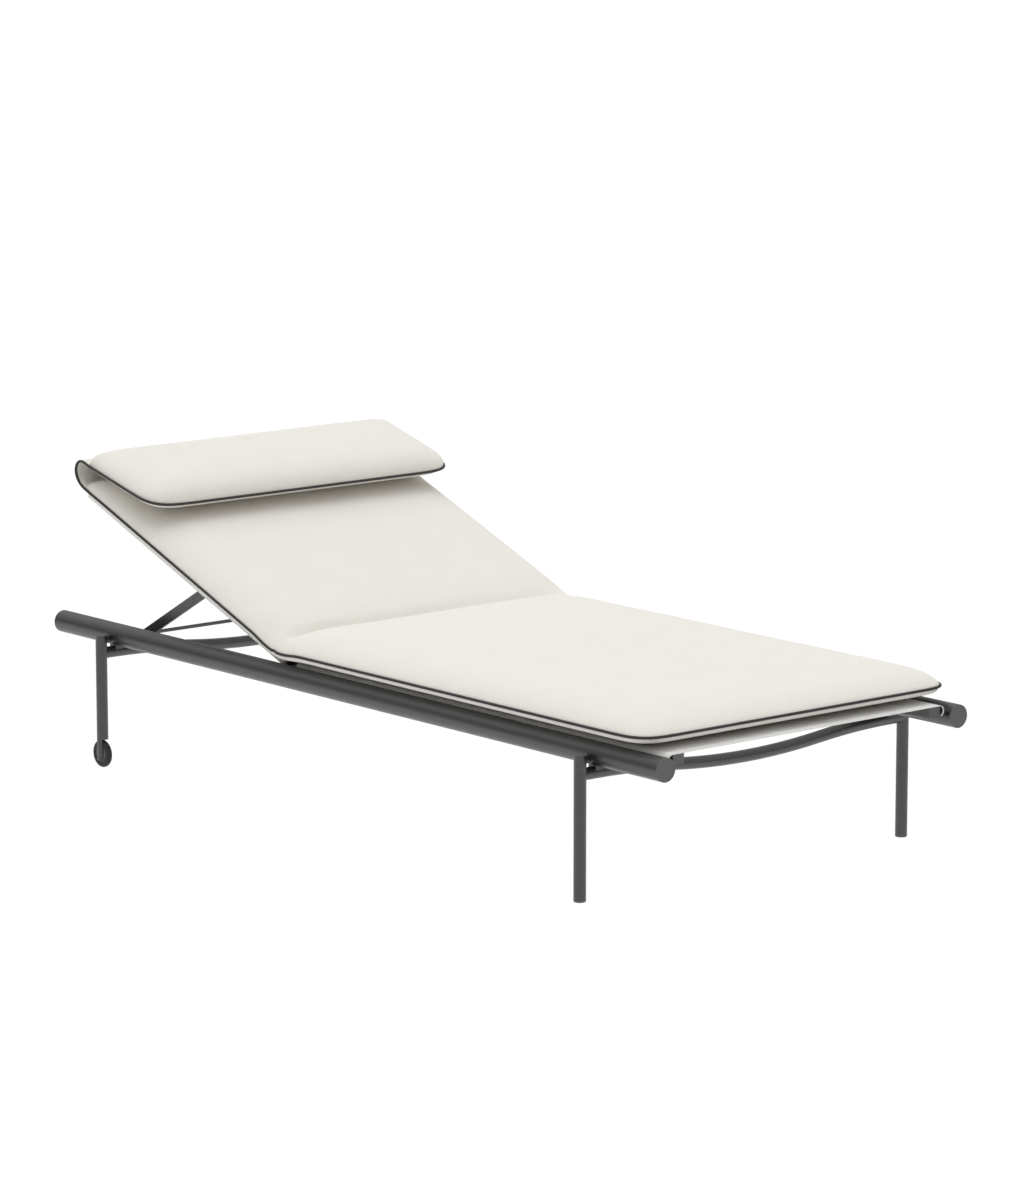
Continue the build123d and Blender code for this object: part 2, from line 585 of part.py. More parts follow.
REST_PAD_Y = rod_place(0)[0] + REST_PAD_BEYOND_ROD


def rest_pad():
    """Rubber pad on a bracket under the head end of the back bar, where the flat back rests."""
    z1 = HINGE_Z - BAR_R - REST_PAD_CLEARANCE
    return block(BAR_INNER_X + REST_PAD_INSET, BAR_ROUND_X, REST_PAD_Y - REST_PAD_LENGTH / 2,
                 REST_PAD_Y + REST_PAD_LENGTH / 2, z1 - REST_PAD_THICKNESS, z1)


def rest_bracket():
    z1 = HINGE_Z - BAR_R - REST_PAD_CLEARANCE - REST_PAD_THICKNESS
    plate = block(BAR_INNER_X + REST_PAD_INSET, RAIL_X, REST_PAD_Y - REST_PAD_LENGTH / 2,
                  REST_PAD_Y + REST_PAD_LENGTH / 2, z1 - HANGER_THICKNESS, z1)
    return plate - rod_y(RAIL_X, REST_PAD_Y - REST_PAD_LENGTH, REST_PAD_Y + REST_PAD_LENGTH,
                         RAIL_AXIS_Z, RAIL_R)


keep_group("rest_pads", [rest_pad()])
keep_group("rest_brackets", [rest_bracket()])


# ---------------------------------------------------------------- mattress
def pad_between(y0, y1, round_start, round_end):
    """Plain pad in a frame whose height zero is the hinge axis; rounded ends where asked."""
    plan = Pos(0, (y0 + y1) / 2) * Rectangle(2 * PAD_HALF_WIDTH, y1 - y0)
    corners = []
    if round_start:
        corners += plan.vertices().sort_by(Axis.Y)[:2]
    if round_end:
        corners += plan.vertices().sort_by(Axis.Y)[-2:]
    plan = fillet(corners, PAD_CORNER)
    pad = Pos(0, 0, PAD_BOTTOM) * extrude(plan, amount=PAD_THICKNESS)
    rim = [e for e in pad.edges().group_by(Axis.Z)[-1] if wanted(e, y0, y1, round_start, round_end)]
    pad = fillet(rim, PAD_TOP_ROUND)
    rim = [e for e in pad.edges().group_by(Axis.Z)[0] if wanted(e, y0, y1, round_start, round_end)]
    return fillet(rim, PAD_BOTTOM_ROUND)


def wanted(edge, y0, y1, round_start, round_end):
    """Leave out the straight edge of an end that is cut square."""
    y = edge.center().Y
    if not round_start and abs(y - y0) < 1:
        return False
    return round_end or abs(y - y1) >= 1


def wedge(lean):
    """Half space beyond a plane through the hinge axis that leans back by this many degrees."""
    size = 2 * PAD_HALF_WIDTH + 200
    return Rotation(lean, 0, 0) * (Pos(0, size / 2, 0) * Box(size, size, size))


PAD_LEAN = BACK_ANGLE_MAX / 2 + PAD_WEDGE_SPARE
seat_pad = pad_between(PAD_FRONT_Y - HINGE_Y, 0, True, False) - wedge(PAD_LEAN)
keep("seat_cushion", Pos(0, HINGE_Y, HINGE_Z) * seat_pad)
back_pad = pad_between(0, PAD_BACK_END_S, False, True) - mirror(wedge(PAD_LEAN), about=Plane.XZ)
keep("back_cushion", on_back(back_pad))

pillow_place = Location((0, PILLOW_TOP_S, PILLOW_TOP_N), (-PILLOW_TILT, 0, 0))


def pillow():
    """Head pillow in its own frame: seam plane at height zero, running towards the foot end."""
    plan = Pos(0, -PILLOW_LENGTH / 2) * Rectangle(2 * PAD_HALF_WIDTH, PILLOW_LENGTH)
    plan = fillet(plan.vertices().sort_by(Axis.Y)[:2], PAD_CORNER)
    body = Pos(0, 0, -PILLOW_BELOW_SEAM) * extrude(plan, amount=PILLOW_ABOVE_SEAM + PILLOW_BELOW_SEAM)
    body = fillet(body.edges().group_by(Axis.Z)[-1], PILLOW_ROUND)
    return on_back(body.moved(pillow_place))


def pillow_fold():
    """Fabric that turns over the top of the back and carries the pillow."""
    turn = (rod_x(-PAD_HALF_WIDTH, PAD_HALF_WIDTH, PAD_BACK_END_S, FOLD_N, FOLD_RADIUS)
            - rod_x(-PAD_HALF_WIDTH - 1, PAD_HALF_WIDTH + 1, PAD_BACK_END_S, FOLD_N,
                    FOLD_RADIUS - FOLD_THICKNESS))
    beyond = block(-2 * PAD_HALF_WIDTH, 2 * PAD_HALF_WIDTH, PAD_BACK_END_S,
                   PAD_BACK_END_S + 2 * FOLD_RADIUS, 0, FOLD_N + 2 * FOLD_RADIUS)
    return on_back(turn & beyond)


keep("head_pillow", pillow())
keep("pillow_fold", pillow_fold())

# ---------------------------------------------------------------- output
os.makedirs("parts", exist_ok=True)
for name, shape in parts.items():
    export_step(shape, "parts/" + name + ".step")
print(len(parts), "nodes, strut", round(STRUT_LENGTH, 1), "mm, back", round(BACK_LENGTH, 1), "mm")
for angle in (0, BACK_ANGLE, BACK_ANGLE_MAX):
    y, z = rod_place(angle)
    print("rod at back angle", angle, "is at", round(y, 1), round(z, 1))
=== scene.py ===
# %% [markdown]
# # A reclining sun lounger
# The metal frame, the wheels and the folding back come from a finished CAD model, which fixes every size.
# Blender adds what CAD solids cannot show: the soft mattress with its piping, the head pillow on its fold,
# the woven slings with their stitched hems, and a finish for every surface. Lengths in this lesson are
# written in millimetres, and one factor turns them into Blender's metres.

# %% Load the frame
import json
from math import cos, pi, radians, sin

import bpy
import numpy as np
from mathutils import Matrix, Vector


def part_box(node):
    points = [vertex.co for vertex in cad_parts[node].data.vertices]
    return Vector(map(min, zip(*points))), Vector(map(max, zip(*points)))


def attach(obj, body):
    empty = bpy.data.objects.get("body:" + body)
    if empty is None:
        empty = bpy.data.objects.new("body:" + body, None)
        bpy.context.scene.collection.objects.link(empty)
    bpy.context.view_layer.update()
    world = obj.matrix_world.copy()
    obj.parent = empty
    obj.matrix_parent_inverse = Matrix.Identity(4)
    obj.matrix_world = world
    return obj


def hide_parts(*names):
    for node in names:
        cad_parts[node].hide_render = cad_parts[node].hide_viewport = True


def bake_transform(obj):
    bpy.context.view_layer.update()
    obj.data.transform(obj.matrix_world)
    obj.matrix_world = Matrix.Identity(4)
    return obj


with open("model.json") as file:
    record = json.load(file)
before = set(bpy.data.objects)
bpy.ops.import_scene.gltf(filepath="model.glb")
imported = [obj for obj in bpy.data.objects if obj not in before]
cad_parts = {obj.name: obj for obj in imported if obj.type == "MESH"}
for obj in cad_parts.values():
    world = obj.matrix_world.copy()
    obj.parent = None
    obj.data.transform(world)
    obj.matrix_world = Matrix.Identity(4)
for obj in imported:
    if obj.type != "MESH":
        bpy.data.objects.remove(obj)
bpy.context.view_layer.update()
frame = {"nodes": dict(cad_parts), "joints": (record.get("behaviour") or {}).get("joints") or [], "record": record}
MM = 0.001

# %% [markdown]
# ## Places that the soft parts hang on
# Cloth follows the frame, so its places are read from the CAD pieces: the hinge between seat and back, the
# outline of the cushions and the bars that carry the slings. Only what the CAD boxes cannot say, such as the
# angle of the raised back, is written down here.

# %% Read the hinge, the cushions and the sling bars
hinge = next(j for j in frame["joints"] if j["name"] == "back_recline")["pos_m"]
HINGE_Y, HINGE_Z = hinge[1] / MM, hinge[2] / MM
BACK_TILT = radians(21)
seat_pad_low, seat_pad_high = (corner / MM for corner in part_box("seat_cushion"))
bar_low, bar_high = (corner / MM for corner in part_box("seat_bar_right"))
SLING_FOOT = (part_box("seat_sling")[0] / MM).y - HINGE_Y
COVER_INSET = 1.0
MATTRESS_HALF_WIDTH = seat_pad_high.x - COVER_INSET
MATTRESS_FOOT = seat_pad_low.y - HINGE_Y
MATTRESS_HEAD = 742.0
print("hinge at", round(HINGE_Y), round(HINGE_Z), "mattress from", round(MATTRESS_FOOT), "to", MATTRESS_HEAD)

# %% [markdown]
# ## Finishes
# Each finish is a procedural material: a Principled shader whose colour, roughness and bump come from noise
# and wave patterns. Metal and plastic read the object's own coordinates. Cloth reads a UV map that is
# measured along the cloth in metres, so that threads keep their size where the cloth turns.

# %% Helpers for building materials
def start_material(name, color, roughness, **extra):
    """A new material with one Principled shader; extra names other shader inputs and their values."""
    material = bpy.data.materials.new(name)
    material.use_nodes = True
    shader = material.node_tree.nodes["Principled BSDF"]
    shader.inputs["Base Color"].default_value = (*color, 1)
    shader.inputs["Roughness"].default_value = roughness
    for socket, value in extra.items():
        shader.inputs[socket.replace("_", " ")].default_value = value
    return material, shader


def node(material, kind, **settings):
    """Add a node; a setting is an attribute of the node, or the value of an input of that name."""
    made = material.node_tree.nodes.new(kind)
    for name, value in settings.items():
        if hasattr(made, name):
            setattr(made, name, value)
        else:
            made.inputs[name.replace("_", " ")].default_value = value
    return made


def wire(material, source, target):
    material.node_tree.links.new(source, target)


def math(material, operation, first, second):
    """One Math node; each operand is a number or an output socket."""
    made = node(material, "ShaderNodeMath", operation=operation)
    for index, operand in enumerate((first, second)):
        if isinstance(operand, (int, float)):
            made.inputs[index].default_value = operand
        else:
            wire(material, operand, made.inputs[index])
    return made.outputs[0]


def tint(material, shader, factor, dark, light, low=0.0, high=1.0):
    """Colour from dark to light, following a pattern between low and high."""
    ramp = node(material, "ShaderNodeMapRange", clamp=True, From_Min=low, From_Max=high)
    wire(material, factor, ramp.inputs["Value"])
    mix = node(material, "ShaderNodeMix", data_type="RGBA")
    wire(material, ramp.outputs["Result"], mix.inputs["Factor"])
    color_a, color_b = [s for s in mix.inputs if s.type == "RGBA"]
    color_a.default_value = (*dark, 1)
    color_b.default_value = (*light, 1)
    wire(material, [s for s in mix.outputs if s.type == "RGBA"][0], shader.inputs["Base Color"])


def relief(material, shader, height, depth):
    """Bump of the given depth in metres from a height pattern."""
    bump = node(material, "ShaderNodeBump", Distance=depth, Strength=1.0)
    wire(material, height, bump.inputs["Height"])
    wire(material, bump.outputs["Normal"], shader.inputs["Normal"])


def grain(material, coordinates, scale, detail=3.0, roughness=0.5):
    """Noise pattern; scale is in features per metre."""
    noise = node(material, "ShaderNodeTexNoise", Scale=scale, Detail=detail, Roughness=roughness)
    wire(material, coordinates, noise.inputs["Vector"])
    return noise.outputs[0]


# %% [markdown]
# ### Powder coat, plastic, steel and rubber
# The tubes are powder coated in a satin charcoal. Powder coat has a very fine orange-peel relief and a
# slightly uneven sheen, so the noise drives both a shallow bump and the roughness. The moulded caps are
# paler and duller, and the pins are blackened steel.

# %% Make the hard finishes
MOTTLE_PER_METRE = 9
SHEEN_PER_METRE = 60


def coated(name, dark, light, rough_low, rough_high, peel_scale, peel_depth, **extra):
    """Painted or moulded finish: mottled colour, uneven sheen and a fine relief."""
    material, shader = start_material(name, light, rough_high, **extra)
    place = node(material, "ShaderNodeTexCoord").outputs["Object"]
    tint(material, shader, grain(material, place, MOTTLE_PER_METRE, 4), dark, light, 0.35, 0.65)
    sheen = node(material, "ShaderNodeMapRange", From_Min=0.3, From_Max=0.7,
                 To_Min=rough_low, To_Max=rough_high)
    wire(material, grain(material, place, SHEEN_PER_METRE, 2), sheen.inputs["Value"])
    wire(material, sheen.outputs["Result"], shader.inputs["Roughness"])
    relief(material, shader, grain(material, place, peel_scale, 2), peel_depth)
    return material


powder_coat = coated("charcoal_powder_coat", (0.010, 0.010, 0.0105), (0.014, 0.014, 0.0145),
                     0.32, 0.40, 1300, 0.00003, IOR=1.8)
cap_plastic = coated("grey_cap_plastic", (0.085, 0.086, 0.087), (0.1, 0.101, 0.102),
                     0.5, 0.6, 2200, 0.00003)
hinge_black = coated("black_hinge_coat", (0.006, 0.006, 0.007), (0.01, 0.01, 0.011),
                     0.5, 0.6, 1800, 0.00003)
pin_steel = coated("blackened_steel", (0.12, 0.12, 0.12), (0.18, 0.18, 0.18),
                   0.3, 0.42, 2500, 0.00001, Metallic=1.0)
hub_plastic = coated("wheel_hub_plastic", (0.1, 0.1, 0.102), (0.125, 0.126, 0.128),
                     0.45, 0.55, 1800, 0.00003)
tyre_rubber = coated("tyre_rubber", (0.012, 0.012, 0.012), (0.02, 0.02, 0.02),
                     0.6, 0.75, 900, 0.00008)
pad_rubber = coated("rest_pad_rubber", (0.01, 0.01, 0.01), (0.015, 0.015, 0.015),
                    0.65, 0.8, 900, 0.00006)
print("hard finishes:", [m.name for m in (powder_coat, cap_plastic, hinge_black, pin_steel,
                                          hub_plastic, tyre_rubber, pad_rubber)])

# %% [markdown]
# ### Cloth
# The mattress cover is a plain-woven outdoor cloth in warm off-white: threads about a millimetre apart cross
# over and under, and thicker threads here and there give it a soft, linen-like unevenness. The weave is two
# crossed wave patterns in millimetres of cloth. The sling is a coarser, open mesh of coated yarn, and the
# piping is a twisted charcoal cord.

# %% Make the cloth finishes
SLUB_PITCHES = 2.2
CLOUD_PER_METRE = 14


def thread_waves(material, pitch_u, pitch_v, slant=0.0):
    """Height of a plain weave: warp and weft waves that trade places, with their UV socket."""
    uv = node(material, "ShaderNodeTexCoord").outputs["UV"]
    split = node(material, "ShaderNodeSeparateXYZ")
    wire(material, uv, split.inputs[0])
    u = math(material, "MULTIPLY", split.outputs[0], 2 * pi / pitch_u)
    v = math(material, "MULTIPLY", split.outputs[1], 2 * pi / pitch_v)
    u = math(material, "ADD", u, math(material, "MULTIPLY", v, slant))
    warp = math(material, "SINE", u, 0)
    weft = math(material, "SINE", v, 0)
    return math(material, "MULTIPLY", warp, weft), uv


def woven(name, dark, light, pitch, depth, slub, **extra):
    """Woven cloth: crossing threads, uneven yarn and a cloudy tone."""
    material, shader = start_material(name, light, 0.92, **extra)
    weave, uv = thread_waves(material, pitch * 2, pitch * 2)
    yarn = grain(material, uv, 1 / (pitch * SLUB_PITCHES), 3, 0.6)
    cloud = grain(material, uv, CLOUD_PER_METRE, 3, 0.55)
    tone = math(material, "ADD", math(material, "MULTIPLY", yarn, slub),
                math(material, "MULTIPLY", cloud, 1 - slub))
    tone = math(material, "ADD", tone, math(material, "MULTIPLY", weave, 0.05))
    tint(material, shader, tone, dark, light, 0.3, 0.68)
    height = math(material, "ADD", math(material, "MULTIPLY", weave, 0.5),
                  math(material, "MULTIPLY", yarn, 0.8))
    relief(material, shader, height, depth)
    return material


mattress_cloth = woven("off_white_mattress_cloth", (0.745, 0.72, 0.67), (0.815, 0.79, 0.74),
                       0.0011, 0.00035, 0.8,
                       Sheen_Weight=0.05, Sheen_Roughness=0.5, Specular_IOR_Level=0.2)
sling_mesh = woven("white_sling_mesh", (0.78, 0.775, 0.75), (0.88, 0.875, 0.855),
                   0.0016, 0.0006, 0.35, Specular_IOR_Level=0.35)
thread_white = woven("white_hem_thread", (0.6, 0.6, 0.58), (0.8, 0.8, 0.78), 0.0006, 0.0002, 0.4)
piping_cord, cord_shader = start_material("charcoal_piping_cord", (0.05, 0.049, 0.048), 0.8,
                                          Specular_IOR_Level=0.3)
cord_twist, cord_uv = thread_waves(piping_cord, 0.0035, 0.0045, slant=1.0)
tint(piping_cord, cord_shader, grain(piping_cord, cord_uv, 500, 2),
     (0.04, 0.039, 0.038), (0.07, 0.068, 0.066), 0.3, 0.7)
relief(piping_cord, cord_shader, cord_twist, 0.0004)
print("cloth finishes:", mattress_cloth.name, sling_mesh.name, piping_cord.name)

# %% [markdown]
# ## Dress the CAD pieces
# Every hard piece keeps its CAD mesh. The record already sorts the pieces into material slots, so one table
# from slot to finish dresses all of them.

# %% Assign a finish to each CAD piece
finish_of_slot = {
    "frame_metal": powder_coat, "cap_plastic": cap_plastic, "hinge_metal": hinge_black,
    "pin_steel": pin_steel, "hub_plastic": hub_plastic, "tyre_rubber": tyre_rubber,
    "pad_rubber": pad_rubber, "sling_cloth": sling_mesh, "mattress_cloth": mattress_cloth,
}
for subpart in frame["record"]["subparts"]:
    piece = frame["nodes"][subpart["node"]]
    piece.data.materials.clear()
    piece.data.materials.append(finish_of_slot[subpart["material_slot"]])

# %% [markdown]
# ## A padded shape from a grid
# The mattress and the pillow are both pads with a seam all round. Seen from above, the outline is a
# rectangle with soft corners. Seen in section, the top rises steeply from the seam and flattens into a low
# crown, and the underside tucks in to the flat part that rests on the bed. One number per grid point, its
# edge value, does all of this: 0 inside and 1 on the seam. It mixes the distances to two sides with a power,
# which gives the soft corners too.
#
# All soft parts are first made flat, as if the back were level, and bent at the hinge afterwards.

# %% Helpers for meshes
def make_piece(name, corners, faces, material, uv=None):
    """Mesh object with its place in its vertices; corners are in millimetres in the lounger's frame."""
    mesh = bpy.data.meshes.new(name)
    mesh.from_pydata((np.asarray(corners) * MM).tolist(), [], faces)
    mesh.materials.append(material)
    if uv is not None:
        layer = mesh.uv_layers.new(name="cloth")
        corner_of_loop = np.empty(len(mesh.loops), int)
        mesh.loops.foreach_get("vertex_index", corner_of_loop)
        layer.data.foreach_set("uv", (np.asarray(uv)[corner_of_loop] * MM).ravel())
    mesh.polygons.foreach_set("use_smooth", [True] * len(mesh.polygons))
    made = bpy.data.objects.new(name, mesh)
    bpy.context.scene.collection.objects.link(made)
    return made


def soften(piece, levels=1):
    """Subdivision surface with the same level in the view and in the render."""
    modifier = piece.modifiers.new("softness", "SUBSURF")
    modifier.levels = modifier.render_levels = levels
    return piece


BEND_HALF = 95.0


def bend_at_hinge(flat):
    """Bend a flat mattress (across, along, height, from the hinge axis) up to the raised back."""
    across, along, height = np.asarray(flat, float).T
    share = np.clip((along + BEND_HALF) / (2 * BEND_HALF), 0, 1)
    turn = BACK_TILT * share * share * (3 - 2 * share)
    y = HINGE_Y + along * np.cos(turn) - height * np.sin(turn)
    z = HINGE_Z + along * np.sin(turn) + height * np.cos(turn)
    return np.column_stack([across, y, z])


print("bend zone is", 2 * BEND_HALF, "mm long")

# %% [markdown]
# The next cell holds the pad itself. Rows run across the pad and are closer together near its ends, and
# columns are closer together near its sides, because that is where the shape turns fastest. Top and
# underside share their outline points, so the pad is one closed skin.

# %% The pad builder
SIDE_STEPS = (0, 1.2, 3.5, 7.5, 13, 21, 31, 44, 62, 84, 110)
MIDDLE_COLUMNS = 13


def pad_grid(rows, half_width, edge_at, side_roll):
    """Grid places and edge values; edge_at(row) gives the row's end value and its corner power."""
    middle_steps = np.linspace(0, half_width - side_roll, MIDDLE_COLUMNS + 1)[:-1]
    side_places = half_width - np.array(SIDE_STEPS[::-1]) * side_roll / SIDE_STEPS[-1]
    positive = np.concatenate([middle_steps, side_places])
    share = np.concatenate([-positive[:0:-1], positive]) / half_width
    places = np.zeros((len(rows), len(share), 2))
    edge = np.zeros((len(rows), len(share)))
    for j, row in enumerate(rows):
        end, power = edge_at(row)
        reach = half_width - side_roll * (1 - (1 - end ** power) ** (1 / power))
        across = share * reach
        side = np.clip(1 - (half_width - np.abs(across)) / side_roll, 0, 1)
        places[j, :, 0] = across
        places[j, :, 1] = row
        edge[j] = np.clip((side ** power + end ** power) ** (1 / power), 0, 1)
        edge[j, 0] = edge[j, -1] = 1
        if end >= 1:
            edge[j] = 1
    return places, edge


def pad_faces(count_rows, count_columns):
    """Faces of a closed pad: a top grid, and an underside grid that borrows the top's outline points."""
    top = np.arange(count_rows * count_columns).reshape(count_rows, count_columns)
    below = top.copy()
    inner = (count_rows - 2) * (count_columns - 2)
    below[1:-1, 1:-1] = top.size + np.arange(inner).reshape(count_rows - 2, count_columns - 2)
    faces = []
    for j in range(count_rows - 1):
        for i in range(count_columns - 1):
            faces.append((top[j, i], top[j, i + 1], top[j + 1, i + 1], top[j + 1, i]))
            faces.append((below[j, i], below[j + 1, i], below[j + 1, i + 1], below[j, i + 1]))
    return [tuple(int(k) for k in face) for face in faces]


def build_pad(name, rows, half_width, edge_at, side_roll, top_at, under_at, place, material):
    """Closed pad; top_at and under_at give its heights, and place sets it in the lounger's frame."""
    places, edge = pad_grid(rows, half_width, edge_at, side_roll)
    across, along = places[..., 0], places[..., 1]
    top = np.stack([across, along, top_at(across, along, edge)], -1)
    under = np.stack([across, along, under_at(across, along, edge)], -1)
    flat = np.concatenate([top.reshape(-1, 3), under[1:-1, 1:-1].reshape(-1, 3)])
    piece = make_piece(name, place(flat), pad_faces(*edge.shape), material, flat[:, :2])
    return soften(piece)


print("pad builder ready;", 2 * (len(SIDE_STEPS) + MIDDLE_COLUMNS) - 1, "columns")

# %% [markdown]
# ## The mattress
# The mattress is one long pad that bends with the back. It is a foam core in a smooth cover, so its top is
# nearly flat with rolled sides. Where it folds at the hinge the cover sinks into a shallow valley. A pad
# is never perfectly even, so slow waves of under a millimetre are added. It is modelled straight and then
# bent, so that cloth is squeezed on the inside of the bend in the same way as on the real one.

# %% Build the mattress
SEAM_HEIGHT = 42.0
CROWN = 42.5
MATTRESS_FULLNESS = 0.62
SIDE_ROLL = 110.0
LIP_INWARD = (0, 1, 3, 6, 10, 30, 50, 65, 80)
LIP_HEIGHT = (42, 36, 32, 29.6, 28.3, 24.5, 19, 14, 12.4)
VALLEY_HEIGHT = 71.0
VALLEY_TILT = 5.0
VALLEY_REACH = 40.0
FOOT_CORNER_POWER = 4.0
HEAD_CORNER_POWER = 12.0
HEAD_ROW_POWER = 3.0
SEAT_ROWS = 36
BACK_ROWS = 20


def corner_rows(start, direction, roll, power, count=10):
    """Row places that follow an end's rounded outline evenly, starting on the seam."""
    turns = np.linspace(0, pi / 2, count)
    ends = np.cos(turns) ** (2 / power)
    return start + direction * roll * (1 - ends)


def mattress_edge(row):
    if row < 0:
        return min(1.0, max(0.0, 1 - (row - MATTRESS_FOOT) / SIDE_ROLL)), FOOT_CORNER_POWER
    return min(1.0, max(0.0, 1 - (MATTRESS_HEAD - row) / SIDE_ROLL)), HEAD_CORNER_POWER


def slow_waves(across, along, size):
    """Gentle unevenness of foam, a fixed sum of long waves."""
    wave = np.sin(across / 83 + along / 131) + np.sin(along / 97 - across / 151 + 1.3)
    wave += 0.7 * np.sin(across / 47 + 0.6) * np.sin(along / 58 + 2.1)
    return size * wave / 2.7


def mattress_top(across, along, edge):
    height = SEAM_HEIGHT + CROWN * (1 - edge ** 2) ** MATTRESS_FULLNESS
    height += slow_waves(across, along, 0.8) * (1 - edge)
    depth = np.clip(1 - np.abs(along) / VALLEY_REACH, 0, 1) ** 2.2
    valley = VALLEY_HEIGHT + VALLEY_TILT * np.tanh(across / 200)
    return height - depth * np.maximum(height - valley, 0)


def mattress_under(across, along, edge):
    inward = SIDE_ROLL * (1 - edge)
    return np.interp(inward, LIP_INWARD, LIP_HEIGHT)


valley_steps = np.array([2, 5, 9, 14, 20, 28, 38, 50, 64, 80, 98])
seat_end, back_start = -valley_steps[-1], valley_steps[-1]
foot_rows = corner_rows(MATTRESS_FOOT, 1, SIDE_ROLL, FOOT_CORNER_POWER)
head_rows = corner_rows(MATTRESS_HEAD, -1, SIDE_ROLL, HEAD_ROW_POWER)[::-1]
mattress_rows = np.concatenate([
    foot_rows, np.linspace(foot_rows[-1], seat_end, SEAT_ROWS)[1:-1], -valley_steps[::-1], [0], valley_steps,
    np.linspace(back_start, head_rows[0], BACK_ROWS)[1:-1], head_rows])
mattress = build_pad("mattress", mattress_rows, MATTRESS_HALF_WIDTH, mattress_edge, SIDE_ROLL,
                     mattress_top, mattress_under, bend_at_hinge, mattress_cloth)
print("mattress faces:", len(mattress.data.polygons))

# %% [markdown]
# ## The head pillow and its fold
# At the head end the cover turns over in a narrow unfilled loop and carries a thin pillow, which lies over
# the mattress and opens away from it a little. The pillow is the same kind of pad as the mattress, fuller
# next to the loop than at its free edge. Its underside hangs down a little, and rests on the mattress where
# it would otherwise sink into it.

# %% Build the pillow
PILLOW_HEAD = 745.0
PILLOW_LENGTH = 255.0
PILLOW_SEAM = 94.0
PILLOW_OPENING = 0.1176
PILLOW_CROWN = 46.0
PILLOW_FULLNESS = (0.47, 0.36)
BELLY_INWARD = (0, 1, 3, 6, 12, 30, 70)
BELLY_DROP = (0, 3.5, 6.5, 9, 13, 20, 28)
RESTING_GAP = 1.0
PILLOW_SIDE_ROLL = 125.0
PILLOW_FRONT_ROLL = 100.0
PILLOW_HEAD_ROLL = 52.0
PILLOW_HALF_WIDTH = MATTRESS_HALF_WIDTH - 1
PILLOW_ROWS = 8


def pillow_seam_height(along):
    return PILLOW_SEAM + (PILLOW_HEAD - along) * PILLOW_OPENING


def pillow_edge(row):
    from_front = (row - (PILLOW_HEAD - PILLOW_LENGTH)) / PILLOW_FRONT_ROLL
    from_head = (PILLOW_HEAD - row) / PILLOW_HEAD_ROLL
    if from_front < from_head:
        return min(1.0, max(0.0, 1 - from_front)), FOOT_CORNER_POWER
    return min(1.0, max(0.0, 1 - from_head)), HEAD_CORNER_POWER


def pillow_top(across, along, edge):
    fullness = np.interp(along, (PILLOW_HEAD - PILLOW_LENGTH, PILLOW_HEAD), PILLOW_FULLNESS)
    rise = PILLOW_CROWN * (1 - edge ** 2) ** fullness
    return pillow_seam_height(along) + rise + slow_waves(across, along, 0.6) * (1 - edge)


def pillow_under(across, along, edge):
    inward = PILLOW_SIDE_ROLL * (1 - edge)
    hanging = pillow_seam_height(along) - np.interp(inward, BELLY_INWARD, BELLY_DROP)
    side = np.clip(1 - (MATTRESS_HALF_WIDTH - np.abs(across)) / SIDE_ROLL, 0, 1)
    return np.maximum(hanging, mattress_top(across, along, side) + RESTING_GAP)


front_rows = corner_rows(PILLOW_HEAD - PILLOW_LENGTH, 1, PILLOW_FRONT_ROLL, FOOT_CORNER_POWER)
loop_rows = corner_rows(PILLOW_HEAD, -1, PILLOW_HEAD_ROLL, HEAD_ROW_POWER)[::-1]
middle_rows = np.linspace(front_rows[-1], loop_rows[0], PILLOW_ROWS)[1:-1]
pillow_rows = np.concatenate([front_rows, middle_rows, loop_rows])
pillow = build_pad("head_pillow_cover", pillow_rows, PILLOW_HALF_WIDTH, pillow_edge, PILLOW_SIDE_ROLL,
                   pillow_top, pillow_under, bend_at_hinge, mattress_cloth)
print("pillow faces:", len(pillow.data.polygons))

# %% [markdown]
# The loop is a strip of doubled cloth swept along a smooth curve. The curve leaves the head end of the
# mattress, turns over and runs in under the pillow. The strip is closed along its sides and ends, and is
# thinner there, where the piping covers it.

# %% Build the fold
LOOP_POINTS = ((700, 41.5), (722, 41.5), (741, 42.5), (759, 48.5), (771.5, 60), (775.5, 73.5),
               (771, 87), (759, 94.3), (742, 95.3), (722, 97), (700, 99.3))
LOOP_THICKNESS = 5.0
LOOP_HEM_SHARE = 0.25
LOOP_HEM = 1.5
LOOP_HALF_WIDTH = MATTRESS_HALF_WIDTH - 2
LOOP_COLUMNS = 26


def smooth_curve(points, count):
    """Catmull-Rom curve through points, with this many places per span."""
    points = np.asarray(points, float)
    padded = np.vstack([2 * points[0] - points[1], points, 2 * points[-1] - points[-2]])
    places = []
    for k in range(1, len(padded) - 2):
        a, b, c, d = padded[k - 1:k + 3]
        for t in np.linspace(0, 1, count, endpoint=False):
            places.append(0.5 * (2 * b + (c - a) * t + (2 * a - 5 * b + 4 * c - d) * t ** 2
                                 + (3 * b - a - 3 * c + d) * t ** 3))
    places.append(points[-1])
    return np.array(places)


def sideways(line):
    """Unit direction square to a line of (along, height) places."""
    step = np.gradient(line, axis=0)
    step /= np.linalg.norm(step, axis=1)[:, None]
    return np.column_stack([-step[:, 1], step[:, 0]])


